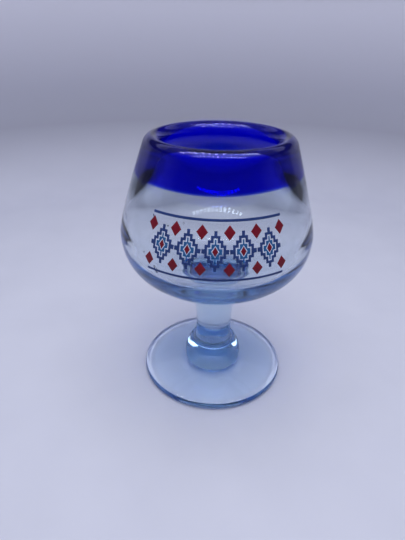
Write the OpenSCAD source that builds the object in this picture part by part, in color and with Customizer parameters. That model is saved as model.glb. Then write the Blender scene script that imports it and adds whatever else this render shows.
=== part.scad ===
// Hand-blown stemmed glass with a coloured lip, in millimetres.
// +Z is up, the origin is at the middle of the foot's resting plane,
// and the printed side faces -Y.

/* [Bowl] */
// Height from the table to the top of the lip
glass_h = 102; // [98:0.5:110]
// Widest diameter of the bowl
bowl_d = 73.1; // [70:0.1:78]
// Height of the widest point above the table
belly_z = 67; // [65:0.5:69]
// Height of the bowl's underside, where the stem is fused on
under_z = 44.7; // [44:0.1:45.5]
// Depth of solid glass between the underside and the hollow
base_t = 6.5; // [6:0.1:8.3]
// Wall thickness at the widest point
belly_wall = 2.6; // [2.4:0.1:3.6]

/* [Coloured lip] */
// Narrowest diameter of the mouth
mouth_d = 40.8; // [39:0.2:42]
// Diameter of the ring along which the lip is highest on its outer side
crest_d = 47.5; // [47:0.1:49]
// Radius of the lip's outer shoulder
shoulder_r = 3.4; // [2.8:0.1:3.8]
// Drop of the lip's inner curve from its crest to the narrowest place of the mouth
lip_drop = 4.5; // [3.5:0.1:5.5]
// Height of the coloured band on the outside
band_h = 11.7; // [9:0.1:14]
// How much lower the coloured band reaches on the inside
band_scarf = 0.8; // [0.2:0.1:1.6]

/* [Stem] */
// Diameter at the stem's slimmest point
stem_d = 14.8; // [13:0.2:16]
// Height of the slimmest point above the table
stem_waist_z = 20; // [18.5:0.5:23]
// Diameter of the fused joint between stem and bowl
stem_top_d = 31; // [29:0.2:32]
// Diameter of the fused joint between stem and knop
stem_base_d = 18.4; // [17.4:0.1:18.6]

/* [Knop] */
// Diameter of the ball
knop_d = 24.4; // [24:0.1:26]
// Height of the ball's middle above the table
knop_z = 6.8; // [6.6:0.1:7.4]
// Height of the flat where the stem sits
knop_top_z = 14.1; // [13.8:0.1:14.2]

/* [Foot] */
// Diameter of the foot
foot_d = 60.7; // [54:0.1:66]
// Thickness of the foot's rounded edge
foot_edge_t = 3.2; // [2.4:0.1:3.6]
// Height of the foot's top where the knop sits
foot_crown_z = 4.3; // [4:0.1:5]
// Diameter of the hollow under the foot
dish_d = 32; // [28:1:40]
// Depth of the hollow under the foot
dish_depth = 0.3; // [0.2:0.1:1.2]

/* [Printed frieze] */
// Thickness of the fired enamel
enamel_t = 0.12; // [0.08:0.01:0.2]
// Height of the frieze's middle line above the table
frieze_z = 74; // [72:0.5:75]
// Number of lozenges in the row
lozenge_count = 5; // [3:2:5]
// Angle round the bowl from one lozenge to the next
lozenge_pitch = 14.4; // [14.2:0.2:16]
// Number of steps from a lozenge's middle row to its tip
lozenge_steps = 4; // [3:1:4]
// Width of one step
step_w = 0.95; // [0.85:0.05:0.95]
// Height of one step
step_h = 1.38; // [1.3:0.02:1.4]
// Width of a lozenge's outline
outline_w = 0.8; // [0.6:0.05:0.9]
// Clear gap between neighbouring colours
colour_gap = 0.4; // [0.2:0.05:0.4]
// Distance from the middle line to each ruled line
rule_offset = 9.3; // [8.8:0.1:10]
// Width of a ruled line
rule_w = 0.8; // [0.5:0.05:1]

/* [Hidden] */
$fn = 96;

// Colours of the two glasses and the three enamels
clear_glass = [0.68, 0.78, 0.90, 0.5];
cobalt_glass = [0.04, 0.02, 0.55, 0.9];
navy_enamel = [0.12, 0.18, 0.42];
teal_enamel = [0.13, 0.35, 0.55];
red_enamel = [0.45, 0.05, 0.13];

// Share of a half axis that turns a curve into a quarter of an ellipse
quarter = 0.5523;

// Points on a curve of each kind
curve_steps = 20;
arc_steps = 10;

// How far the bowl's curve holds its direction at each of its ends
shoulder_lean = 20;
shoulder_pull = 2.8;
belly_pull_up = 5.2;
belly_pull_down = 17;
under_rise = 18;
under_pull = 8.5;

// The same for the hollow
mouth_pull = 8.5;
hollow_pull_up = 14.5;
hollow_pull_down = 12.5;
hollow_floor_pull = 26;
hollow_belly_z = belly_z + 0.5;

// The same for the stem
waist_pull_up = 15;
waist_pull_down = 3.5;
stem_flare_pull = 5;
stem_base_pull = 1.3;
stem_base_rise = 22;

// The foot's pontil scar and the rise of its dish
pontil_d = 20;
dish_pull = 3;

// Past every wall, for cutting outlines and motifs
far = 60;

// Printed rows of small diamonds
accent_w = 3.6;
accent_h = 4.6;
accent_offset = 5.7;
core_w = 1.8;
core_h = 3;
frieze_margin = 8.5;

function bezier_at(p, t) =
    pow(1 - t, 3) * p[0] + 3 * t * pow(1 - t, 2) * p[1] + 3 * t * t * (1 - t) * p[2] + pow(t, 3) * p[3];
function bezier(p) = [for (i = [0 : curve_steps]) bezier_at(p, i / curve_steps)];
function arc(centre, r, from, to) =
    [for (i = [0 : arc_steps]) centre + r * heading(from + (to - from) * i / arc_steps)];
function heading(a) = [cos(a), sin(a)];

// Outside of the bowl, from the stem's joint up to the crest of the lip
shoulder_centre = [crest_d / 2, glass_h - shoulder_r];
shoulder_start = shoulder_centre + shoulder_r * heading(shoulder_lean);
belly = [bowl_d / 2, belly_z];
under_edge = [stem_top_d / 2, under_z];
bowl_under = bezier([
    under_edge,
    under_edge + under_pull * heading(under_rise),
    belly - [0, belly_pull_down],
    belly
]);
bowl_side = bezier([
    belly,
    belly + [0, belly_pull_up],
    shoulder_start + shoulder_pull * heading(shoulder_lean - 90),
    shoulder_start
]);
lip_outside = arc(shoulder_centre, shoulder_r, shoulder_lean, 90);

// Inside of the bowl, from the crest of the lip down to the floor of the hollow
crest = [crest_d / 2, glass_h];
mouth_edge = [mouth_d / 2, glass_h - lip_drop];
lip_inside = bezier([
    crest,
    crest - [quarter * (crest_d - mouth_d) / 2, 0],
    mouth_edge + [0, quarter * lip_drop],
    mouth_edge
]);
hollow_belly = [bowl_d / 2 - belly_wall, hollow_belly_z];
hollow_floor = [0, under_z + base_t];
hollow_side = bezier([
    mouth_edge,
    mouth_edge - [0, mouth_pull],
    hollow_belly + [0, hollow_pull_up],
    hollow_belly
]);
hollow_under = bezier([
    hollow_belly,
    hollow_belly - [0, hollow_pull_down],
    hollow_floor + [hollow_floor_pull, 0],
    hollow_floor
]);

// The slanted joint between the clear bowl and the coloured band
band_low_z = glass_h - band_h;
band_axis_z = band_low_z - 5 * band_scarf;
band_far_z = band_low_z + 5 * band_scarf;

// The knop is a ball cut flat where stem and foot join it
knop_r = knop_d / 2;
knop_foot_r = sqrt(pow(knop_r, 2) - pow(knop_z - foot_crown_z, 2));

// Half section through bowl and lip together
module vessel_section() {
    polygon(concat(
        [[0, under_z]],
        bowl_under,
        bowl_side,
        lip_outside,
        lip_inside,
        hollow_side,
        hollow_under
    ));
}

module above_band_joint() {
    polygon([[0, band_axis_z], [far, band_far_z], [far, glass_h + far], [0, glass_h + far]]);
}

module bowl() {
    color(clear_glass)
        rotate_extrude()
            difference() {
                vessel_section();
                above_band_joint();
            }
}

module rim_band() {
    color(cobalt_glass)
        rotate_extrude()
            intersection() {
                vessel_section();
                above_band_joint();
            }
}

module stem() {
    base_edge = [stem_base_d / 2, knop_top_z];
    waist = [stem_d / 2, stem_waist_z];
    lower = bezier([
        base_edge,
        base_edge + stem_base_pull * heading(180 - stem_base_rise),
        waist - [0, waist_pull_down],
        waist
    ]);
    upper = bezier([
        waist,
        waist + [0, waist_pull_up],
        under_edge - stem_flare_pull * heading(under_rise),
        under_edge
    ]);
    color(clear_glass)
        rotate_extrude()
            polygon(concat([[0, knop_top_z]], lower, upper, [[0, under_z]]));
}

module knop() {
    color(clear_glass)
        intersection() {
            translate([0, 0, knop_z]) sphere(knop_r);
            translate([0, 0, foot_crown_z]) cylinder(r = knop_d, h = knop_top_z - foot_crown_z);
        }
}

module foot() {
    edge_r = foot_edge_t / 2;
    edge_centre = [foot_d / 2 - edge_r, edge_r];
    dish = bezier([
        [pontil_d / 2, dish_depth],
        [pontil_d / 2 + dish_pull, dish_depth],
        [dish_d / 2 - dish_pull, 0],
        [dish_d / 2, 0]
    ]);
    color(clear_glass)
        rotate_extrude()
            polygon(concat(
                [[0, dish_depth]],
                dish,
                arc(edge_centre, edge_r, -90, 90),
                [[knop_foot_r, foot_crown_z], [0, foot_crown_z]]
            ));
}

// A skin of enamel over the bowl's side, which the motifs are cut out of
module enamel_skin() {
    low = [for (p = bowl_under) if (p[1] > frieze_z - far / 4) p];
    inside = concat(low, bowl_side);
    outside = [for (i = [len(inside) - 1 : -1 : 0]) inside[i] + [enamel_t, 0]];
    rotate_extrude() polygon(concat(inside, outside));
}

// A flat motif pressed on to the bowl at an angle from the middle of the front
module on_bowl(angle) {
    intersection() {
        enamel_skin();
        rotate([0, 0, angle])
            translate([0, 0, frieze_z])
                rotate([90, 0, 0])
                    linear_extrude(far) children();
    }
}

// Stepped lozenge, built of bars that each are one step taller and narrower than the last
module stepped_lozenge(inset) {
    for (row = [0 : lozenge_steps]) {
        w = (2 * (lozenge_steps - row) + 1) * step_w - 2 * inset;
        h = (2 * row + 1) * step_h - 2 * inset;
        if (w > 0 && h > 0) square([w, h], center = true);
    }
}

module diamond(w, h) {
    polygon([[w / 2, 0], [0, h / 2], [-w / 2, 0], [0, -h / 2]]);
}

// A line that runs round the front of the bowl, above or below the lozenges
module ruled_line(side) {
    half_angle = lozenge_pitch * (lozenge_count - 1) / 2 + frieze_margin;
    rotate([0, 0, -90 - half_angle])
        intersection() {
            enamel_skin();
            translate([0, 0, frieze_z + side * rule_offset])
                rotate_extrude(angle = 2 * half_angle)
                    translate([far / 4, -rule_w / 2]) square([far, rule_w]);
        }
}

function lozenge_angles() =
    [for (i = [0 : lozenge_count - 1]) (i - (lozenge_count - 1) / 2) * lozenge_pitch];
function accent_angles() =
    [for (i = [0 : lozenge_count]) (i - lozenge_count / 2) * lozenge_pitch];

module print_navy() {
    color(navy_enamel) {
        for (side = [-1, 1]) ruled_line(side);
        for (angle = lozenge_angles())
            on_bowl(angle)
                difference() {
                    stepped_lozenge(0);
                    stepped_lozenge(outline_w);
                }
    }
}

module print_teal() {
    color(teal_enamel)
        for (angle = lozenge_angles())
            on_bowl(angle)
                difference() {
                    stepped_lozenge(outline_w + colour_gap);
                    diamond(core_w + 2 * colour_gap, core_h + 2 * colour_gap);
                }
}

module print_red() {
    color(red_enamel) {
        for (angle = lozenge_angles())
            on_bowl(angle) diamond(core_w, core_h);
        for (angle = accent_angles(), side = [-1, 1])
            on_bowl(angle)
                translate([0, side * accent_offset]) diamond(accent_w, accent_h);
    }
}

bowl();
rim_band();
stem();
knop();
foot();
print_navy();
print_teal();
print_red();
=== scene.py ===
"""Looks of a hand-blown stemmed glass with a coloured lip: glass, enamel, stage, light and camera.

Sizes are in millimetres and angles in degrees, as in the part's source, and MM turns them into metres.
Every gather of glass is a closed mesh of its own. Its face attribute "finish" says where the glass is
fire-polished, where it is fused to the next gather, which lets light straight through, and where it is
broken, as on the scar under the foot.
"""
import math

import bmesh
import bpy
import numpy as np
from mathutils import Matrix, Vector
from mathutils.geometry import tessellate_polygon


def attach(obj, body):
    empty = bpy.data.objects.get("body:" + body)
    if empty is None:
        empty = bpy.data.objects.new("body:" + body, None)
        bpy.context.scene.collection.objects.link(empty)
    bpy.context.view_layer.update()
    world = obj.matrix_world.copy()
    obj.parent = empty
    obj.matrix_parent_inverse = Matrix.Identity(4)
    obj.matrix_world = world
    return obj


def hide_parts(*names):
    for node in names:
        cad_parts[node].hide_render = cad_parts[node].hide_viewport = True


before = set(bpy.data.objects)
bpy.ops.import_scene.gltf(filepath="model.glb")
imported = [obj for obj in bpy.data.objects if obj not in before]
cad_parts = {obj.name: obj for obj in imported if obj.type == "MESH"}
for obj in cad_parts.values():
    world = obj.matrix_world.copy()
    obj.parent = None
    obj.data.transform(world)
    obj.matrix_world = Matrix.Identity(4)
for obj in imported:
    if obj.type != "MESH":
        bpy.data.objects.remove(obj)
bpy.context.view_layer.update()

MM = 0.001

# Bowl and lip
GLASS_H = 102.0
BOWL_D = 73.1
BELLY_Z = 67.0
UNDER_Z = 44.7
BASE_T = 6.5
BELLY_WALL = 2.6
MOUTH_D = 40.8
CREST_D = 47.5
SHOULDER_R = 3.4
LIP_DROP = 4.5
BAND_H = 11.7

# The slanted joint under the coloured band falls by the scarf over this much wall, from this radius
BAND_SCARF = 0.8
SCARF_WALL = 6.0
SCARF_R = 30.0

# Waves in the band's lower edge: how many round the glass, height, and phase in radians
BAND_WAVES = ((1, 0.35, 0.4), (2, 0.22, 2.1), (5, 0.12, 0.0))

# Stem, knop and foot
STEM_D = 14.8
STEM_WAIST_Z = 20.0
STEM_TOP_D = 31.0
STEM_BASE_D = 18.4
KNOP_D = 24.4
KNOP_Z = 6.8
KNOP_TOP_Z = 14.1
FOOT_D = 60.7
FOOT_EDGE_T = 3.2
FOOT_CROWN_Z = 4.3
DISH_D = 32.0
DISH_DEPTH = 0.3
PONTIL_D = 20.0
SCAR_D = 17.0
DISH_PULL = 3.0

# How far each curve holds its direction at its ends
SHOULDER_LEAN = 20.0
SHOULDER_PULL = 2.8
BELLY_PULL_UP = 5.2
BELLY_PULL_DOWN = 17.0
UNDER_RISE = 18.0
UNDER_PULL = 8.5
MOUTH_PULL = 8.5
HOLLOW_PULL_UP = 14.5
HOLLOW_PULL_DOWN = 12.5
HOLLOW_FLOOR_PULL = 26.0
HOLLOW_BELLY_Z = BELLY_Z + 0.5
WAIST_PULL_UP = 15.0
WAIST_PULL_DOWN = 3.5
STEM_FLARE_PULL = 5.0
STEM_BASE_PULL = 1.3
STEM_BASE_RISE = 22.0

# Hand-made unevenness: shares of the radius, phases in radians, and how much of it the foot has
OVAL_SHARE = 0.0025
OVAL_PHASE = 0.7
LOBES_SHARE = 0.0018
LOBES_PHASE = -1.1
FOOT_UNEVEN = 0.4
RIDGES_SHARE = 0.007
RIDGES_Z = 17.8
RIDGES_REACH = 2.2
RIDGES_PITCH = 2.3
SWAY = 0.25
SWAY_WAVES = 1.1
LIP_TILT = 0.12
LIP_TILT_PHASE = 0.8

# Printed frieze
FRIEZE_Z = 74.0
LOZENGE_COUNT = 5
LOZENGE_PITCH = 14.4
LOZENGE_STEPS = 4
STEP_W = 0.95
STEP_H = 1.38
OUTLINE_W = 0.8
COLOUR_GAP = 0.4
RULE_OFFSET = 9.3
RULE_W = 0.8
FRIEZE_MARGIN = 8.5
ACCENT_W = 3.6
ACCENT_H = 4.6
ACCENT_OFFSET = 5.7
CORE_W = 1.8
CORE_H = 3.0
ENAMEL_TOP = 0.10
ENAMEL_EDGE = 0.05
ENAMEL_SUNK = -0.02
ENAMEL_CELL = 0.9
RULE_CELL = 1.5
WELD = 1e-4

# Bubbles in the bowl's wall: angle from the front, height, lean, and width, height and depth
SEEDS = (
    (-32.9, 64.3, 22.0, (1.1, 2.9, 0.9)),
    (-37.9, 81.4, 40.0, (0.5, 1.8, 0.5)),
    (-41.3, 69.1, 0.0, (0.5, 0.6, 0.5)),
    (-27.4, 79.8, 0.0, (0.5, 0.5, 0.5)),
    (108.0, 76.0, -30.0, (0.6, 1.5, 0.5)),
    (-155.0, 63.0, 15.0, (0.7, 1.9, 0.6)),
)

# Mesh fineness: points on a curve of the outline, quads round the axis, and rings on each stretch
CURVE_POINTS = 240
TURNS = 160
BOWL_RINGS = 72
BAND_RINGS = 110
STEM_RINGS = 64
KNOP_RINGS = 40
DISH_RINGS = 24
FOOT_FLAT_RINGS = 12
FOOT_EDGE_RINGS = 20
FOOT_TOP_RINGS = 14
STAGE_RINGS = 80
SEED_RINGS = 8
SEED_SIDES = 12
ON_AXIS = 1e-9
NORMAL_STEP = 0.01

# Clear space between the skins of two fused gathers
FUSE_GAP = 0.01

# Values of the face attribute "finish"
POLISHED = 0.0
FUSED = 1.0
BROKEN = -1.0

# Glass: the colour that passes, the absorption's density per metre, and the tint of its gleams
GLASS_IOR = 1.5
BROKEN_ROUGHNESS = 0.55
CLEAR_PASSES = (0.0, 0.37, 0.69)
CLEAR_DENSITY = 34.0
COBALT_PASSES = (0.0, 0.16, 0.95)
COBALT_DENSITY = 1260.0
CLEAR_GLEAM = (1, 1, 1)
COBALT_GLEAM = (0.8, 0.75, 1.0)
RIPPLE_SCALE = 70.0
RIPPLE_DEPTH = 0.08

# Enamel: its darkest and lightest colour, and the scale of its patches, sheen and pits
NAVY_COLOURS = ((0.022, 0.045, 0.17), (0.030, 0.060, 0.22))
TEAL_COLOURS = ((0.018, 0.095, 0.27), (0.026, 0.125, 0.33))
RED_COLOURS = ((0.16, 0.007, 0.018), (0.21, 0.010, 0.024))
PATCH_SCALE = 900.0
SHEEN_SCALE = 1400.0
SHEEN_ROUGHNESS = (0.45, 0.65)
PIT_SCALE = 2500.0
PIT_DEPTH = 0.02

# Camera: place in millimetres, turns in degrees, lens for its long side
CAMERA_PLACE = (0.0, -149.2, 132.5)
CAMERA_PITCH = 29.65
CAMERA_YAW = -1.99
CAMERA_ROLL = -1.05
CAMERA_LENS = 27.93
CAMERA_LONG_SIDE = 36.0
CAMERA_NEAREST = 5.0

# Stage: a round paper sweep, its colours, and zones of painted light and painted shade
WALL_R = 330.0
COVE_R = 80.0
WALL_H = 450.0
FLOOR_GAP = 0.15
PAPER_SCALE = 30.0
FLOOR_COLOURS = ((0.535, 0.555, 0.69), (0.56, 0.58, 0.715))
# Painted light: the floor is paler under the foot and palest under the scar, as if lit through the glass
UNDER_FOOT_LIGHT_COLOUR = (0.63, 0.69, 0.86)
UNDER_SCAR_LIGHT_COLOUR = (0.95, 0.95, 0.97)
# Painted shade low on the wall, where it meets the floor, then the wall's own pale colour
WALL_FOOT_SHADE_COLOUR = (0.35, 0.36, 0.455)
HIGH_WALL_COLOUR = (0.60, 0.61, 0.74)
# Painted shade high on the wall, and painted light on the roof above it
TOP_WALL_SHADE_COLOUR = (0.30, 0.31, 0.38)
ROOF_LIGHT_COLOUR = (0.75, 0.76, 0.85)
# Painted shade of a dim room: a belt above, the front and the sides, which only the glass shows
BELT_SHADE_COLOUR = (0.05, 0.05, 0.055)
FRONT_SHADE_COLOUR = (0.07, 0.072, 0.09)
SIDE_SHADE_COLOUR = (0.22, 0.23, 0.28)

# Where each zone of the stage begins and where it is full: heights, depth, width and radii
LOW_WALL = (0.0, 50.0)
HIGH_WALL = (50.0, 150.0)
TOP_WALL = (155.0, 220.0)
ROOF = (250.0, 290.0)
SHADE_BELT_START = (222.0, 232.0)
SHADE_BELT_END = (300.0, 320.0)
FRONT_Y = (50.0, -200.0)
SIDE_X = (298.0, 315.0)
# Radii where the painted light under the foot and under the scar fades out
UNDER_FOOT_R = (0.42 * FOOT_D, 0.47 * FOOT_D)
UNDER_SCAR_R = (0.45 * PONTIL_D, 0.5 * PONTIL_D)

# Light: the room, a soft lamp overhead, strips of small lamps, and two windows
ROOM_COLOUR = (0.24, 0.25, 0.27)
SOFTBOX_D = 520.0
SOFTBOX_Y = -80.0
SOFTBOX_Z = WALL_H + 10.0
SOFTBOX_LEVEL = 3.8
SOFTBOX_SEEN = 3.0
SOFTBOX_RIM = 0.2
STRIP_Z = 300.0
WINDOW_NEAR = 110.0
WINDOW_FAR = 310.0
WINDOW_Z = 40.0
LIGHT_BOUNCES = 40

# Gates on how often a ray was scattered, mirrored or let through before
NONE_YET = 0.5
ONE_AT_MOST = 1.5
EIGHT_AT_MOST = 8.5
KNOP_MIRRORS = 3.0
KNOP_CROSSINGS = 4.0
EXACTLY = 0.5


def unit(v):
    """Vectors of length 1 along the last axis."""
    return v / np.linalg.norm(v, axis=-1, keepdims=True)


def metres(limits):
    return [v * MM for v in limits]


def heading(angle):
    """Unit vector at an angle in a plane."""
    return np.array([math.cos(math.radians(angle)), math.sin(math.radians(angle))])


def bezier(p0, p1, p2, p3):
    """Cubic curve as rows of radius, height and the two parts of its direction."""
    t = np.linspace(0, 1, CURVE_POINTS)[:, None]
    p0, p1, p2, p3 = (np.asarray(p, float) for p in (p0, p1, p2, p3))
    place = (1 - t) ** 3 * p0 + 3 * t * (1 - t) ** 2 * p1 + 3 * t ** 2 * (1 - t) * p2 + t ** 3 * p3
    along = (1 - t) ** 2 * (p1 - p0) + 2 * t * (1 - t) * (p2 - p1) + t ** 2 * (p3 - p2)
    return np.hstack([place, unit(along)])


def arc(centre, r, start, end):
    """Round stretch, with the same columns as a cubic curve."""
    angle = np.radians(np.linspace(start, end, CURVE_POINTS))[:, None]
    way = 1.0 if end > start else -1.0
    place = np.asarray(centre, float) + r * np.hstack([np.cos(angle), np.sin(angle)])
    return np.hstack([place, way * np.hstack([-np.sin(angle), np.cos(angle)])])


def straight(start, end):
    """Straight stretch, with the same columns as a cubic curve."""
    t = np.linspace(0, 1, CURVE_POINTS)[:, None]
    start, end = np.asarray(start, float), np.asarray(end, float)
    along = unit(end - start)
    return np.hstack([start + t * (end - start), np.repeat(along[None, :], CURVE_POINTS, axis=0)])


class Outline:
    """Stretches joined end to end, read by the distance along them."""

    def __init__(self, *stretches):
        self.rows = np.vstack(stretches)
        steps = np.linalg.norm(np.diff(self.rows[:, :2], axis=0), axis=1)
        self.run = np.concatenate([[0], np.cumsum(steps)])
        self.length = self.run[-1]

    def at(self, distance):
        """Rows of the outline at an array of distances, one more axis of four at the end."""
        return np.stack([np.interp(distance, self.run, self.rows[:, k]) for k in range(4)], axis=-1)

    def spread(self, start, end, count):
        """Evenly spaced rows between two distances, which may differ round the axis."""
        t = np.linspace(0, 1, count)[:, None]
        return self.at(start + t * (np.asarray(end) - np.asarray(start)))

    def whole(self, count):
        """Evenly spaced rows from end to end."""
        return self.spread(0, self.length, count)


# The vessel's outline, from the stem's joint over the lip to the middle of the hollow
SHOULDER_CENTRE = np.array([CREST_D / 2, GLASS_H - SHOULDER_R])
SHOULDER_START = SHOULDER_CENTRE + SHOULDER_R * heading(SHOULDER_LEAN)
BELLY = np.array([BOWL_D / 2, BELLY_Z])
UNDER_EDGE = np.array([STEM_TOP_D / 2, UNDER_Z])
CREST = SHOULDER_CENTRE + np.array([0.0, SHOULDER_R])
MOUTH_EDGE = np.array([MOUTH_D / 2, GLASS_H - LIP_DROP])
HOLLOW_BELLY = np.array([BOWL_D / 2 - BELLY_WALL, HOLLOW_BELLY_Z])
HOLLOW_FLOOR = np.array([0.0, UNDER_Z + BASE_T])
UP = np.array([0.0, 1.0])
OUT = np.array([1.0, 0.0])

# Pull of a cubic curve that stands for a quarter of an ellipse
QUARTER = 0.5523

OUTSIDE = [
    bezier(UNDER_EDGE, UNDER_EDGE + UNDER_PULL * heading(UNDER_RISE), BELLY - BELLY_PULL_DOWN * UP, BELLY),
    bezier(
        BELLY,
        BELLY + BELLY_PULL_UP * UP,
        SHOULDER_START + SHOULDER_PULL * heading(SHOULDER_LEAN - 90),
        SHOULDER_START,
    ),
    arc(SHOULDER_CENTRE, SHOULDER_R, SHOULDER_LEAN, 90),
]
INSIDE = [
    bezier(
        CREST,
        CREST - QUARTER * (CREST_D - MOUTH_D) / 2 * OUT,
        MOUTH_EDGE + QUARTER * LIP_DROP * UP,
        MOUTH_EDGE,
    ),
    bezier(MOUTH_EDGE, MOUTH_EDGE - MOUTH_PULL * UP, HOLLOW_BELLY + HOLLOW_PULL_UP * UP, HOLLOW_BELLY),
    bezier(
        HOLLOW_BELLY,
        HOLLOW_BELLY - HOLLOW_PULL_DOWN * UP,
        HOLLOW_FLOOR + HOLLOW_FLOOR_PULL * OUT,
        HOLLOW_FLOOR,
    ),
]
VESSEL = Outline(*OUTSIDE, *INSIDE)
SIDE = np.vstack(OUTSIDE[:2])

# Angles round the axis, from +X towards +Y
ROUND = np.arange(TURNS) * 2 * math.pi / TURNS


def band_edge():
    """Distance along the vessel's outline to the coloured band's lower edge, outside and inside."""
    wave = sum(height * np.sin(count * ROUND + phase) for count, height, phase in BAND_WAVES)
    low = GLASS_H - BAND_H + wave
    slope = BAND_SCARF / SCARF_WALL
    rise = VESSEL.rows[:, 1] - slope * (VESSEL.rows[:, 0] - SCARF_R)
    top = int(np.argmax(VESSEL.rows[:, 1]))
    outside = np.interp(low, rise[:top], VESSEL.run[:top])
    inside = np.interp(-low, -rise[top:], VESSEL.run[top:])
    return outside, inside


def hand_made(p):
    """Points moved by the slight unevenness that the whole glass shares."""
    x, y, z = p[..., 0], p[..., 1], p[..., 2]
    angle = np.arctan2(y, x)
    up = np.clip(z / GLASS_H, 0, 1)
    oval = OVAL_SHARE * np.cos(2 * angle + OVAL_PHASE + up)
    lobes = LOBES_SHARE * np.cos(3 * angle + LOBES_PHASE + 2 * up)
    ridges = np.exp(-((z - RIDGES_Z) / RIDGES_REACH) ** 2) * np.sin(2 * math.pi * z / RIDGES_PITCH)
    swell = (oval + lobes) * (FOOT_UNEVEN + (1 - FOOT_UNEVEN) * up) + RIDGES_SHARE * ridges
    moved = p.copy()
    moved[..., 0] = x * (1 + swell) + SWAY * np.sin(2 * math.pi * SWAY_WAVES * up) * up
    moved[..., 1] = y * (1 + swell)
    moved[..., 2] = z + LIP_TILT * up * np.sin(angle + LIP_TILT_PHASE)
    return moved


def revolve(rows):
    """Points and outward normals of outline rows turned round the axis, as they are after hand_made."""
    r, z, along_r, along_z = (np.broadcast_to(rows[..., k], (rows.shape[0], TURNS)) for k in range(4))
    c, s = np.cos(ROUND), np.sin(ROUND)
    place = np.stack([r * c, r * s, z], axis=-1)
    along = np.stack([along_r * c, along_r * s, along_z], axis=-1)
    across = np.stack([np.broadcast_to(-s, r.shape), np.broadcast_to(c, r.shape), 0 * r], axis=-1)
    along = hand_made(place + NORMAL_STEP * along) - hand_made(place - NORMAL_STEP * along)
    across = hand_made(place + NORMAL_STEP * across) - hand_made(place - NORMAL_STEP * across)
    return hand_made(place), unit(np.cross(across, along))


def link_object(name, mesh, material):
    """New object of a mesh, with one material, in the scene."""
    mesh.materials.append(material)
    thing = bpy.data.objects.new(name, mesh)
    bpy.context.scene.collection.objects.link(thing)
    return thing


def mesh_object(name, points, faces, material):
    """New object of points in metres and faces."""
    mesh = bpy.data.meshes.new(name)
    mesh.from_pydata(points, [], faces)
    return link_object(name, mesh, material)


class Skin:
    """Faces, loop normals and the finish of one closed mesh, gathered piece by piece."""

    def __init__(self):
        self.points = []
        self.faces = []
        self.normals = []
        self.finish = []

    def add_point(self, p):
        self.points.append(p)
        return len(self.points) - 1

    def add_face(self, corners, normals, finish):
        self.faces.append(corners)
        self.normals.extend(normals)
        self.finish.append(finish)

    def add_ring(self, rows, place):
        """Points of one ring, or the same point all round where the ring lies on the axis."""
        if float(np.max(rows[..., 0])) < ON_AXIS:
            return [self.add_point(place[0])] * TURNS
        return [self.add_point(p) for p in place]

    def turn(self, runs, lift):
        """Turn runs of an outline round the axis. Each run starts where the last one ended."""
        ring = None
        for rows, finish in runs:
            place, normal = revolve(rows)
            place = place + np.array([0, 0, lift])
            for i in range(len(rows)):
                before = ring
                if i > 0 or ring is None:
                    ring = self.add_ring(rows[i], place[i])
                if i > 0:
                    self.strip(before, ring, normal[i - 1], normal[i], finish)

    def strip(self, low, high, low_normal, high_normal, finish):
        """Faces between two rings, which are triangles where one ring is a point on the axis."""
        for j in range(TURNS):
            k = (j + 1) % TURNS
            corners = [low[j], low[k], high[k], high[j]]
            normals = [low_normal[j], low_normal[k], high_normal[k], high_normal[j]]
            kept = (0, 1, 2, 3)
            if low[j] == low[k]:
                kept = (0, 2, 3)
            elif high[j] == high[k]:
                kept = (0, 1, 2)
            self.add_face([corners[i] for i in kept], [normals[i] for i in kept], finish)

    def close_ring(self):
        """Weld a turned loop's last ring to its first, so that the mesh is closed."""
        count = len(self.points)
        swap = {count - TURNS + j: j for j in range(TURNS)}
        self.faces = [[swap.get(k, k) for k in f] for f in self.faces]
        del self.points[count - TURNS:]

    def make(self, name, material):
        points = [tuple(np.asarray(p) * MM) for p in self.points]
        piece = mesh_object(name, points, self.faces, material)
        mark = piece.data.attributes.new("finish", "FLOAT", "FACE")
        mark.data.foreach_set("value", self.finish)
        piece.data.polygons.foreach_set("use_smooth", [True] * len(self.faces))
        piece.data.normals_split_custom_set([tuple(n) for n in self.normals])
        return piece


def disc(r_start, r_end, z, count=6):
    """Flat ring rows between two radii at one height."""
    return Outline(straight((r_start, z), (r_end, z))).spread(0, abs(r_end - r_start), count)


def across_joint(start, end, count=8):
    """Rows from one end of the band's joint to the other, straight through the wall."""
    t = np.linspace(0, 1, count)[:, None, None]
    span = end[..., :2] - start[..., :2]
    place = start[..., :2] + t * span
    return np.concatenate([place, np.broadcast_to(unit(span), place.shape)], axis=-1)


def bowl_piece(material):
    outside, inside = band_edge()
    skin = Skin()
    runs = [
        (disc(0, STEM_TOP_D / 2, UNDER_Z), FUSED),
        (VESSEL.spread(0, outside, BOWL_RINGS), POLISHED),
        (across_joint(VESSEL.at(outside), VESSEL.at(inside)), FUSED),
        (VESSEL.spread(inside, VESSEL.length, BOWL_RINGS), POLISHED),
    ]
    skin.turn(runs, 3 * FUSE_GAP)
    for seed in SEEDS:
        add_seed(skin, *seed)
    return skin.make("glass_bowl", material)


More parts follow.
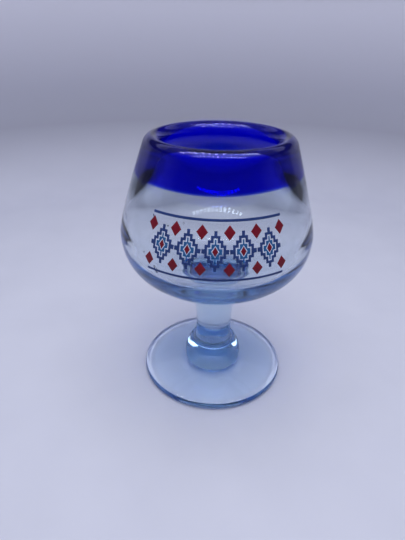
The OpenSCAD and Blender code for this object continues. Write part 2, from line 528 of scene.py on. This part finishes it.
def add_seed(skin, azimuth, z, lean, size):
    """Small bubble of air shut in the bowl's wall: wide, tall and deep, and leaning by an angle."""
    middle = on_bowl(azimuth, z, -BELLY_WALL / 2)
    outward = unit(on_bowl(azimuth, z, 0.0) - middle)
    wide = unit(np.cross([0.0, 0.0, 1.0], outward))
    tall = np.cross(outward, wide)
    c, s = heading(lean)
    axes = np.array([c * wide + s * tall, c * tall - s * wide, outward])
    size = np.array(size)
    rings = []
    for i in range(SEED_RINGS + 1):
        up = math.pi * (i / SEED_RINGS - 0.5)
        ring = []
        for j in range(SEED_SIDES):
            turn = 2 * math.pi * j / SEED_SIDES
            way = np.array([math.cos(up) * math.cos(turn), math.sin(up), math.cos(up) * math.sin(turn)])
            if ring and i in (0, SEED_RINGS):
                ring.append(ring[0])
            else:
                place = middle + (way * size / 2) @ axes
                ring.append((skin.add_point(place), -unit((way / size) @ axes)))
        rings.append(ring)
    for low, high in zip(rings, rings[1:]):
        for j in range(SEED_SIDES):
            k = (j + 1) % SEED_SIDES
            corners = [low[j], low[k], high[k], high[j]]
            if low is rings[0]:
                corners = corners[1:]
            elif high is rings[-1]:
                corners = corners[:3]
            skin.add_face([p for p, _ in corners], [v for _, v in corners], POLISHED)


def band_piece(material):
    outside, inside = band_edge()
    skin = Skin()
    runs = [
        (across_joint(VESSEL.at(inside), VESSEL.at(outside)), FUSED),
        (VESSEL.spread(outside, inside, BAND_RINGS), POLISHED),
    ]
    skin.turn(runs, 4 * FUSE_GAP)
    skin.close_ring()
    return skin.make("glass_rim_band", material)


def stem_piece(material):
    base_edge = np.array([STEM_BASE_D / 2, KNOP_TOP_Z])
    waist = np.array([STEM_D / 2, STEM_WAIST_Z])
    side = Outline(
        bezier(
            base_edge,
            base_edge + STEM_BASE_PULL * heading(180 - STEM_BASE_RISE),
            waist - WAIST_PULL_DOWN * UP,
            waist,
        ),
        bezier(
            waist,
            waist + WAIST_PULL_UP * UP,
            UNDER_EDGE - STEM_FLARE_PULL * heading(UNDER_RISE),
            UNDER_EDGE,
        ),
    )
    skin = Skin()
    runs = [
        (disc(0, STEM_BASE_D / 2, KNOP_TOP_Z), FUSED),
        (side.whole(STEM_RINGS), POLISHED),
        (disc(STEM_TOP_D / 2, 0, UNDER_Z), FUSED),
    ]
    skin.turn(runs, 2 * FUSE_GAP)
    return skin.make("glass_stem", material)


def knop_foot_r():
    """Radius at which the knop is cut flat on the foot."""
    return math.sqrt((KNOP_D / 2) ** 2 - (KNOP_Z - FOOT_CROWN_Z) ** 2)


def knop_piece(material):
    r = KNOP_D / 2
    low = math.degrees(math.asin((FOOT_CROWN_Z - KNOP_Z) / r))
    high = math.degrees(math.asin((KNOP_TOP_Z - KNOP_Z) / r))
    top_r = r * math.cos(math.radians(high))
    skin = Skin()
    runs = [
        (disc(0, knop_foot_r(), FOOT_CROWN_Z), FUSED),
        (Outline(arc((0, KNOP_Z), r, low, high)).whole(KNOP_RINGS), POLISHED),
        (disc(top_r, STEM_BASE_D / 2, KNOP_TOP_Z, 2), POLISHED),
        (disc(STEM_BASE_D / 2, 0, KNOP_TOP_Z), FUSED),
    ]
    skin.turn(runs, FUSE_GAP)
    return skin.make("glass_knop", material)


def foot_piece(material):
    edge_r = FOOT_EDGE_T / 2
    edge_centre = np.array([FOOT_D / 2 - edge_r, edge_r])
    scar = np.array([PONTIL_D / 2, DISH_DEPTH])
    rim = np.array([DISH_D / 2, 0.0])
    crown = np.array([knop_foot_r(), FOOT_CROWN_Z])
    dish = Outline(bezier(scar, scar + DISH_PULL * OUT, rim - DISH_PULL * OUT, rim))
    edge = Outline(arc(edge_centre, edge_r, -90, 90))
    top = Outline(straight(edge_centre + edge_r * UP, crown))
    skin = Skin()
    runs = [
        (disc(0, SCAR_D / 2, DISH_DEPTH), BROKEN),
        (disc(SCAR_D / 2, PONTIL_D / 2, DISH_DEPTH, 2), POLISHED),
        (dish.whole(DISH_RINGS), POLISHED),
        (disc(DISH_D / 2, edge_centre[0], 0.0, FOOT_FLAT_RINGS), POLISHED),
        (edge.whole(FOOT_EDGE_RINGS), POLISHED),
        (top.whole(FOOT_TOP_RINGS), POLISHED),
        (disc(knop_foot_r(), 0, FOOT_CROWN_Z), FUSED),
    ]
    skin.turn(runs, 0.0)
    return skin.make("glass_foot", material)


def on_bowl(azimuth, z, lift):
    """Point on the bowl's outside at an angle from the middle of the front, raised by lift."""
    r, along_r, along_z = (np.interp(z, SIDE[:, 1], SIDE[:, k]) for k in (0, 2, 3))
    radius = r + lift * along_z
    height = z - lift * along_r
    angle = math.radians(-90 + azimuth)
    p = np.array([radius * math.cos(angle), radius * math.sin(angle), height])
    return hand_made(p) + np.array([0, 0, 3 * FUSE_GAP])


def pressed(azimuth):
    """Flat motif pressed straight on to the bowl at an angle from the middle of the front."""
    def place(x, z):
        r = float(np.interp(FRIEZE_Z + z, SIDE[:, 1], SIDE[:, 0]))
        return azimuth + math.degrees(math.asin(x / r)), FRIEZE_Z + z
    return place


def wound(x, z):
    """Motif whose x is already an angle round the bowl."""
    return x, FRIEZE_Z + z


def stepped_lozenge(inset):
    """Outline of a lozenge with stepped sides, drawn in by inset all round."""
    quarter = []
    reached = 0.0
    for row in range(LOZENGE_STEPS + 1):
        w = (2 * (LOZENGE_STEPS - row) + 1) * STEP_W / 2 - inset
        h = (2 * row + 1) * STEP_H / 2 - inset
        if w > 0 and h > 0:
            quarter += [(w, reached), (w, h)]
            reached = h
    quarter = quarter[1:]
    left = [(-x, z) for x, z in reversed(quarter)]
    upper = quarter + left
    return upper + [(-x, -z) for x, z in upper]


def diamond(w, h, z=0.0):
    return [(w / 2, z), (0, z + h / 2), (-w / 2, z), (0, z - h / 2)]


def rectangle(x_half, z_low, z_high):
    return [(x_half, z_low), (x_half, z_high), (-x_half, z_high), (-x_half, z_low)]


def enamel_piece(name, motifs, material):
    """Thin fired enamel: each motif is its outline, its holes, its place and its cell width."""
    bm = bmesh.new()
    for motif in motifs:
        add_motif(bm, *motif)
    mesh = bpy.data.meshes.new(name)
    bm.to_mesh(mesh)
    bm.free()
    return link_object(name, mesh, material)


def flat_motif(outline, holes, cell):
    """Motif as a flat mesh, cut into cells that are small enough to follow the bowl."""
    flat = bmesh.new()
    loops = [[Vector((x, z, 0)) for x, z in loop] for loop in [outline, *holes]]
    corners = [flat.verts.new(p) for loop in loops for p in loop]
    for triangle in tessellate_polygon(loops):
        flat.faces.new([corners[k] for k in triangle])
    for way, width in ((Vector((1, 0, 0)), cell), (Vector((0, 1, 0)), ENAMEL_CELL)):
        reach = [way.dot(p) for p in loops[0]]
        low = min(reach)
        for k in range(1, math.ceil((max(reach) - low) / width)):
            geometry = flat.verts[:] + flat.edges[:] + flat.faces[:]
            bmesh.ops.bisect_plane(flat, geom=geometry, plane_co=way * (low + k * width), plane_no=way)
    bmesh.ops.remove_doubles(flat, verts=flat.verts, dist=WELD)
    bmesh.ops.recalc_face_normals(flat, faces=flat.faces)
    return flat


def add_motif(bm, outline, holes, place, cell):
    """Add one motif to an enamel mesh, raised in the middle and lower at its edge."""
    flat = flat_motif(outline, holes, cell)
    turned = sum(f.normal.z * f.calc_area() for f in flat.faces) < 0
    tops, undersides = {}, {}
    for v in flat.verts:
        angle, z = place(v.co.x, v.co.y)
        lift = ENAMEL_EDGE if v.is_boundary else ENAMEL_TOP
        tops[v] = bm.verts.new(on_bowl(angle, z, lift) * MM)
        undersides[v] = bm.verts.new(on_bowl(angle, z, ENAMEL_SUNK) * MM)
    for f in flat.faces:
        ring = list(f.verts)
        if turned:
            ring.reverse()
        bm.faces.new([tops[v] for v in ring]).smooth = True
        bm.faces.new([undersides[v] for v in reversed(ring)]).smooth = True
    for e in flat.edges:
        if e.is_boundary:
            loop = e.link_loops[0]
            a, b = loop.vert, loop.link_loop_next.vert
            if turned:
                a, b = b, a
            bm.faces.new([tops[b], tops[a], undersides[a], undersides[b]]).smooth = True
            for side in (tops, undersides):
                bm.edges.get([side[a], side[b]]).smooth = False
    flat.free()


def lozenge_angles():
    return [(i - (LOZENGE_COUNT - 1) / 2) * LOZENGE_PITCH for i in range(LOZENGE_COUNT)]


def accent_angles():
    return [(i - LOZENGE_COUNT / 2) * LOZENGE_PITCH for i in range(LOZENGE_COUNT + 1)]


def navy_motifs():
    """Two rules, and the stepped outlines of the lozenges between them."""
    reach = LOZENGE_PITCH * (LOZENGE_COUNT - 1) / 2 + FRIEZE_MARGIN
    rules = []
    for side in (-1, 1):
        rule = rectangle(reach, side * RULE_OFFSET - RULE_W / 2, side * RULE_OFFSET + RULE_W / 2)
        rules.append((rule, [], wound, RULE_CELL))
    rings = [
        (stepped_lozenge(0), [stepped_lozenge(OUTLINE_W)], pressed(a), ENAMEL_CELL)
        for a in lozenge_angles()
    ]
    return rules + rings


def teal_motifs():
    """Stepped fields inside the lozenges."""
    hole = diamond(CORE_W + 2 * COLOUR_GAP, CORE_H + 2 * COLOUR_GAP)
    field = stepped_lozenge(OUTLINE_W + COLOUR_GAP)
    return [(field, [hole], pressed(a), ENAMEL_CELL) for a in lozenge_angles()]


def red_motifs():
    """Diamonds in the middle of the lozenges, and larger ones above and below."""
    cores = [(diamond(CORE_W, CORE_H), [], pressed(a), ENAMEL_CELL) for a in lozenge_angles()]
    accents = [
        (diamond(ACCENT_W, ACCENT_H, side * ACCENT_OFFSET), [], pressed(a), ENAMEL_CELL)
        for a in accent_angles()
        for side in (-1, 1)
    ]
    return cores + accents


class Nodes:
    """The node tree of a material or a world, with short calls to add and link nodes."""

    def __init__(self, owner, output="OutputMaterial"):
        self.owner = owner
        owner.use_nodes = True
        self.tree = owner.node_tree
        self.tree.nodes.clear()
        self.out = self.add(output)

    def add(self, kind, **values):
        node = self.tree.nodes.new("ShaderNode" + kind)
        for key, value in values.items():
            node.inputs[key.replace("_", " ")].default_value = value
        return node

    def link(self, source, target):
        self.tree.links.new(source, target)

    def noise(self, scale, detail):
        place = self.add("TexCoord")
        noise = self.add("TexNoise", Scale=scale, Detail=detail)
        self.link(place.outputs["Object"], noise.inputs["Vector"])
        return noise.outputs["Fac"]

    def spread(self, source, low, high, from_low=0.3, from_high=0.7):
        """Values from low to high, while the source goes from one limit to the other."""
        span = self.add("MapRange", To_Min=low, To_Max=high, From_Min=from_low, From_Max=from_high)
        self.link(source, span.inputs["Value"])
        return span.outputs["Result"]

    def combine(self, operation, *values):
        """Math of up to three values, each a constant or a socket."""
        math_node = self.add("Math")
        math_node.operation = operation
        for socket, value in zip(math_node.inputs, values):
            if isinstance(value, float):
                socket.default_value = value
            else:
                self.link(value, socket)
        return math_node.outputs[0]

    def length(self, vector):
        """Length of a vector."""
        node = self.add("VectorMath")
        node.operation = "LENGTH"
        self.link(vector, node.inputs[0])
        return node.outputs["Value"]

    def blend(self, share, first, second):
        """Mix of two colours, each a constant or a socket."""
        mix = self.add("Mix")
        mix.data_type = "RGBA"
        self.link(share, mix.inputs[0])
        for socket, colour in ((mix.inputs[6], first), (mix.inputs[7], second)):
            if isinstance(colour, tuple):
                socket.default_value = (*colour, 1)
            else:
                self.link(colour, socket)
        return mix.outputs[2]

    def bump(self, height, distance):
        bump = self.add("Bump", Distance=distance, Strength=1.0)
        self.link(height, bump.inputs["Height"])
        return bump.outputs["Normal"]


def glass_material(name, passes, density, gleam):
    """Coloured glass with soft ripples, clear to the next gather where fused and matt where broken."""
    n = Nodes(bpy.data.materials.new(name))
    shader = n.add("BsdfPrincipled", Base_Color=(1, 1, 1, 1), Transmission_Weight=1.0, Roughness=0.0)
    shader.inputs["Specular Tint"].default_value = (*gleam, 1)
    finish = n.add("Attribute")
    finish.attribute_name = "finish"
    bending = n.spread(finish.outputs["Fac"], GLASS_IOR, 1.0, POLISHED, FUSED)
    roughness = n.spread(finish.outputs["Fac"], BROKEN_ROUGHNESS, 0.0, BROKEN, POLISHED)
    n.link(bending, shader.inputs["IOR"])
    n.link(roughness, shader.inputs["Roughness"])
    n.link(n.bump(n.noise(RIPPLE_SCALE, 1.0), RIPPLE_DEPTH * MM), shader.inputs["Normal"])
    volume = n.add("VolumeAbsorption", Color=(*passes, 1), Density=density)
    n.link(shader.outputs["BSDF"], n.out.inputs["Surface"])
    n.link(volume.outputs["Volume"], n.out.inputs["Volume"])
    return n.owner


def enamel_material(name, colours):
    """Fired enamel: slightly uneven colour and a satin, faintly pitted face."""
    n = Nodes(bpy.data.materials.new(name))
    shader = n.add("BsdfPrincipled", Specular_IOR_Level=0.25)
    uneven = n.spread(n.noise(PATCH_SCALE, 4.0), 0.0, 1.0)
    n.link(n.blend(uneven, *colours), shader.inputs["Base Color"])
    n.link(n.spread(n.noise(SHEEN_SCALE, 3.0), *SHEEN_ROUGHNESS), shader.inputs["Roughness"])
    n.link(n.bump(n.noise(PIT_SCALE, 2.0), PIT_DEPTH * MM), shader.inputs["Normal"])
    n.link(shader.outputs["BSDF"], n.out.inputs["Surface"])
    return n.owner


def stage_material(name):
    """Matt paper in zones, with painted light and painted shade: floor, wall and roof, and dark zones of
    painted shade that only the glass shows.

    The floor has painted light: it is paler under the foot and palest under the scar. The wall has painted
    shade low down and high up, and the roof has painted light. The wall is dark at the front, at the sides
    and in a belt above, as painted shade of a dim room. The camera doesn't see those dark zones, and
    neither do rays that were mirrored often.
    """
    n = Nodes(bpy.data.materials.new(name))
    shader = n.add("BsdfPrincipled", Roughness=0.9, Specular_IOR_Level=0.0)
    place = n.add("NewGeometry").outputs["Position"]
    part = n.add("SeparateXYZ")
    n.link(place, part.inputs["Vector"])
    height = part.outputs["Z"]
    # Painted shade low on the wall, full at 50 mm and lifting by 150 mm; the same share also marks where
    # the wall begins
    low_wall = n.spread(height, 0.0, 1.0, *metres(LOW_WALL))
    high_wall = n.spread(height, 0.0, 1.0, *metres(HIGH_WALL))
    # Painted shade high on the wall, and painted light on the roof
    top_wall_shade = n.spread(height, 0.0, 1.0, *metres(TOP_WALL))
    roof = n.spread(height, 0.0, 1.0, *metres(ROOF))

    path = n.add("LightPath")
    unseen = n.combine("SUBTRACT", 1.0, path.outputs["Is Camera Ray"])
    few = n.combine("LESS_THAN", path.outputs["Glossy Depth"], EIGHT_AT_MOST)
    unseen = n.combine("MULTIPLY", unseen, few)
    # Painted shade of a dim room at the front, at the sides and in a belt above, hidden from the camera
    front = n.spread(part.outputs["Y"], 0.0, 1.0, *metres(FRONT_Y))
    front = n.combine("MULTIPLY", n.combine("MULTIPLY", low_wall, front), unseen)
    side = n.spread(n.combine("ABSOLUTE", part.outputs["X"]), 0.0, 1.0, *metres(SIDE_X))
    side = n.combine("MULTIPLY", n.combine("MULTIPLY", low_wall, side), unseen)
    belt = n.spread(height, 0.0, 1.0, *metres(SHADE_BELT_START))
    belt = n.combine("SUBTRACT", belt, n.spread(height, 0.0, 1.0, *metres(SHADE_BELT_END)))
    belt = n.combine("MULTIPLY", belt, unseen)

    reach = n.length(place)
    # Painted light on the floor under the foot and under the scar
    under_foot_light = n.spread(reach, 1.0, 0.0, *metres(UNDER_FOOT_R))
    under_scar_light = n.spread(reach, 1.0, 0.0, *metres(UNDER_SCAR_R))
    grain = n.spread(n.noise(PAPER_SCALE, 3.0), 0.0, 1.0)
    colour = n.blend(grain, *FLOOR_COLOURS)
    # Zones of the paper's colour, most of them painted light and painted shade
    zones = (
        (under_foot_light, UNDER_FOOT_LIGHT_COLOUR),
        (under_scar_light, UNDER_SCAR_LIGHT_COLOUR),
        (low_wall, WALL_FOOT_SHADE_COLOUR),
        (high_wall, HIGH_WALL_COLOUR),
        (top_wall_shade, TOP_WALL_SHADE_COLOUR),
        (roof, ROOF_LIGHT_COLOUR),
        (front, FRONT_SHADE_COLOUR),
        (side, SIDE_SHADE_COLOUR),
        (belt, BELT_SHADE_COLOUR),
    )
    for share, zone_colour in zones:
        colour = n.blend(share, colour, zone_colour)
    n.link(colour, shader.inputs["Base Color"])
    n.link(shader.outputs["BSDF"], n.out.inputs["Surface"])
    return n.owner


def stage_piece():
    """Floor that sweeps up into a round wall on all sides, a hair below the glass's resting plane."""
    side = Outline(
        straight((0, 0), (WALL_R - COVE_R, 0)),
        arc((WALL_R - COVE_R, COVE_R), COVE_R, -90, 0),
        straight((WALL_R, COVE_R), (WALL_R, WALL_H)),
    )
    rows = side.whole(STAGE_RINGS)
    points, faces = [(0.0, 0.0, 0.0)], []
    for r, z in rows[1:, 0, :2] * MM:
        points += [(r * c, r * s, z) for c, s in zip(np.cos(ROUND), np.sin(ROUND))]
    for j in range(TURNS):
        k = (j + 1) % TURNS
        faces.append((0, 1 + j, 1 + k))
        for i in range(len(rows) - 2):
            low, high = 1 + i * TURNS, 1 + (i + 1) * TURNS
            faces.append((low + j, high + j, high + k, low + k))
    stage = mesh_object("stage", points, faces, stage_material("stage_paper_painted_light"))
    stage.data.polygons.foreach_set("use_smooth", [True] * len(faces))
    stage.location.z = -FLOOR_GAP * MM


def softbox():
    """Round soft lamp overhead. Seen straight through the glass it is dimmer, with a soft edge."""
    n = Nodes(bpy.data.materials.new("softbox"))
    path = n.add("LightPath")
    first = n.combine("LESS_THAN", path.outputs["Diffuse Depth"], NONE_YET)
    straight_on = n.combine("LESS_THAN", path.outputs["Glossy Depth"], ONE_AT_MOST)
    seen = n.combine("MULTIPLY", straight_on, path.outputs["Is Transmission Ray"])
    seen = n.combine("MULTIPLY", first, seen)
    r = SOFTBOX_D / 2 * MM
    reach = n.length(n.add("TexCoord").outputs["Object"])
    soft = n.spread(reach, SOFTBOX_SEEN, SOFTBOX_RIM, 0.0, r)
    dimmed = n.combine("MULTIPLY", seen, n.combine("SUBTRACT", SOFTBOX_LEVEL, soft))
    glow = n.add("Emission")
    n.link(n.combine("SUBTRACT", SOFTBOX_LEVEL, dimmed), glow.inputs["Strength"])
    n.link(glow.outputs["Emission"], n.out.inputs["Surface"])
    ring = [(r * c, r * s, 0.0) for c, s in zip(np.cos(ROUND), np.sin(ROUND))]
    box = mesh_object("softbox", ring, [tuple(reversed(range(TURNS)))], n.owner)
    box.location = (0.0, SOFTBOX_Y * MM, SOFTBOX_Z * MM)
    box.visible_camera = False
    box.visible_glossy = False


def show_where(n, shown, level):
    """Make a lamp's material glow where it is shown, and clear where it isn't."""
    glow = n.add("Emission", Strength=level)
    clear_air = n.add("BsdfTransparent")
    mix = n.add("MixShader")
    n.link(shown, mix.inputs["Fac"])
    n.link(clear_air.outputs["BSDF"], mix.inputs[1])
    n.link(glow.outputs["Emission"], mix.inputs[2])
    n.link(mix.outputs["Shader"], n.out.inputs["Surface"])
    n.owner.cycles.emission_sampling = "NONE"


def lamp_strip(name, y, count, pitch, size, level, inside):
    """Strip of small lamps that shows only as a row of gleams in the glass.

    A strip for the outer face is mirrored there at once. A strip for the inner face is mirrored once
    behind the outer face, so its light leaves the glass again on the way.
    """
    n = Nodes(bpy.data.materials.new(name))
    path = n.add("LightPath")
    first = n.combine("LESS_THAN", path.outputs["Diffuse Depth"], NONE_YET)
    mirrored = n.combine("LESS_THAN", path.outputs["Glossy Depth"], ONE_AT_MOST)
    shown = n.combine("MULTIPLY", first, mirrored)
    if not inside:
        outer = n.combine("LESS_THAN", path.outputs["Transmission Depth"], NONE_YET)
        shown = n.combine("MULTIPLY", shown, outer)
    show_where(n, shown, level)
    points, faces = [], []
    for k in range(count):
        x = (k - (count - 1) / 2) * pitch
        faces.append(tuple(range(len(points), len(points) + 4)))
        for side, end in ((-1, -1), (-1, 1), (1, 1), (1, -1)):
            points.append(((x + side * size[0] / 2) * MM, end * size[1] / 2 * MM, 0.0))
    strip = mesh_object(name, points, faces, n.owner)
    strip.location = (0.0, y * MM, STRIP_Z * MM)
    strip.visible_camera = False
    strip.visible_diffuse = False
    strip.visible_shadow = False
    strip.visible_glossy = not inside
    strip.visible_transmission = inside


def window(name, azimuth, width, level):
    """Level panel that shines down and shows only in the knop's shoulders.

    Its light enters the foot, is mirrored three times, goes up into the knop and leaves it.
    """
    n = Nodes(bpy.data.materials.new(name))
    path = n.add("LightPath")
    shown = n.combine("LESS_THAN", path.outputs["Diffuse Depth"], NONE_YET)
    mirrored = n.combine("COMPARE", path.outputs["Glossy Depth"], KNOP_MIRRORS, EXACTLY)
    crossed = n.combine("COMPARE", path.outputs["Transmission Depth"], KNOP_CROSSINGS, EXACTLY)
    shown = n.combine("MULTIPLY", shown, mirrored)
    shown = n.combine("MULTIPLY", shown, crossed)
    shown = n.combine("SUBTRACT", shown, n.add("NewGeometry").outputs["Backfacing"])
    show_where(n, shown, level)
    way, along = heading(azimuth), heading(azimuth + 90)
    points = [
        (*((reach * way + side * width / 2 * along) * MM), WINDOW_Z * MM)
        for reach, side in ((WINDOW_NEAR, 1), (WINDOW_FAR, 1), (WINDOW_FAR, -1), (WINDOW_NEAR, -1))
    ]
    panel = mesh_object(name, points, [(0, 1, 2, 3)], n.owner)
    panel.visible_camera = False
    panel.visible_diffuse = False
    panel.visible_glossy = False
    panel.visible_shadow = False


def room_light():
    """Faint even light from the room, which is dark where it shows straight through the glass."""
    n = Nodes(bpy.data.worlds.new("room"), "OutputWorld")
    path = n.add("LightPath")
    seen = n.combine("LESS_THAN", path.outputs["Glossy Depth"], ONE_AT_MOST)
    seen = n.combine("MULTIPLY", seen, path.outputs["Is Transmission Ray"])
    background = n.add("Background", Color=(*ROOM_COLOUR, 1))
    n.link(n.combine("SUBTRACT", 1.0, seen), background.inputs["Strength"])
    n.link(background.outputs["Background"], n.out.inputs["Surface"])
    bpy.context.scene.world = n.owner


def add_camera():
    """Camera at the photograph's viewing angle."""
    pitch, yaw, roll = (math.radians(a) for a in (CAMERA_PITCH, CAMERA_YAW, CAMERA_ROLL))
    ahead = Vector((math.sin(yaw) * math.cos(pitch), math.cos(yaw) * math.cos(pitch), -math.sin(pitch)))
    level = Vector((math.cos(yaw), -math.sin(yaw), 0))
    down = ahead.cross(level)
    right = math.cos(roll) * level + math.sin(roll) * down
    up = math.sin(roll) * level - math.cos(roll) * down
    camera = bpy.data.objects.new("camera", bpy.data.cameras.new("camera"))
    camera.data.lens = CAMERA_LENS
    camera.data.sensor_width = CAMERA_LONG_SIDE
    camera.data.clip_start = CAMERA_NEAREST * MM
    turn = Matrix((right, up, -ahead)).transposed().to_4x4()
    camera.matrix_world = Matrix.Translation(Vector(CAMERA_PLACE) * MM) @ turn
    bpy.context.scene.collection.objects.link(camera)
    bpy.context.scene.camera = camera


def dress(piece, node):
    """Let a piece ride with the glass and stand for its CAD node, which is hidden."""
    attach(piece, "root")
    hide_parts(node)


clear = glass_material("clear_glass", CLEAR_PASSES, CLEAR_DENSITY, CLEAR_GLEAM)
cobalt = glass_material("cobalt_glass", COBALT_PASSES, COBALT_DENSITY, COBALT_GLEAM)
navy = enamel_material("navy_enamel", NAVY_COLOURS)
teal = enamel_material("teal_enamel", TEAL_COLOURS)
red = enamel_material("red_enamel", RED_COLOURS)

dress(bowl_piece(clear), "bowl")
dress(band_piece(cobalt), "rim_band")
dress(stem_piece(clear), "stem")
dress(knop_piece(clear), "knop")
dress(foot_piece(clear), "foot")
dress(enamel_piece("enamel_navy", navy_motifs(), navy), "print_navy")
dress(enamel_piece("enamel_teal", teal_motifs(), teal), "print_teal")
dress(enamel_piece("enamel_red", red_motifs(), red), "print_red")

stage_piece()
softbox()
lamp_strip("strip_above", y=-5.0, count=14, pitch=20.0, size=(6.0, 50.0), level=26.0, inside=False)
lamp_strip("strip_ahead", y=-138.0, count=14, pitch=20.0, size=(6.0, 50.0), level=26.0, inside=False)
lamp_strip("strip_between", y=-86.0, count=13, pitch=14.5, size=(8.5, 18.0), level=60.0, inside=True)
window("window_right", azimuth=56.0, width=130.0, level=5.0)
window("window_left", azimuth=121.0, width=40.0, level=5.0)
room_light()
add_camera()

scene = bpy.context.scene
scene.view_settings.view_transform = "Standard"
scene.cycles.max_bounces = LIGHT_BOUNCES
scene.cycles.glossy_bounces = LIGHT_BOUNCES
scene.cycles.transmission_bounces = LIGHT_BOUNCES
scene.cycles.blur_glossy = 0.0
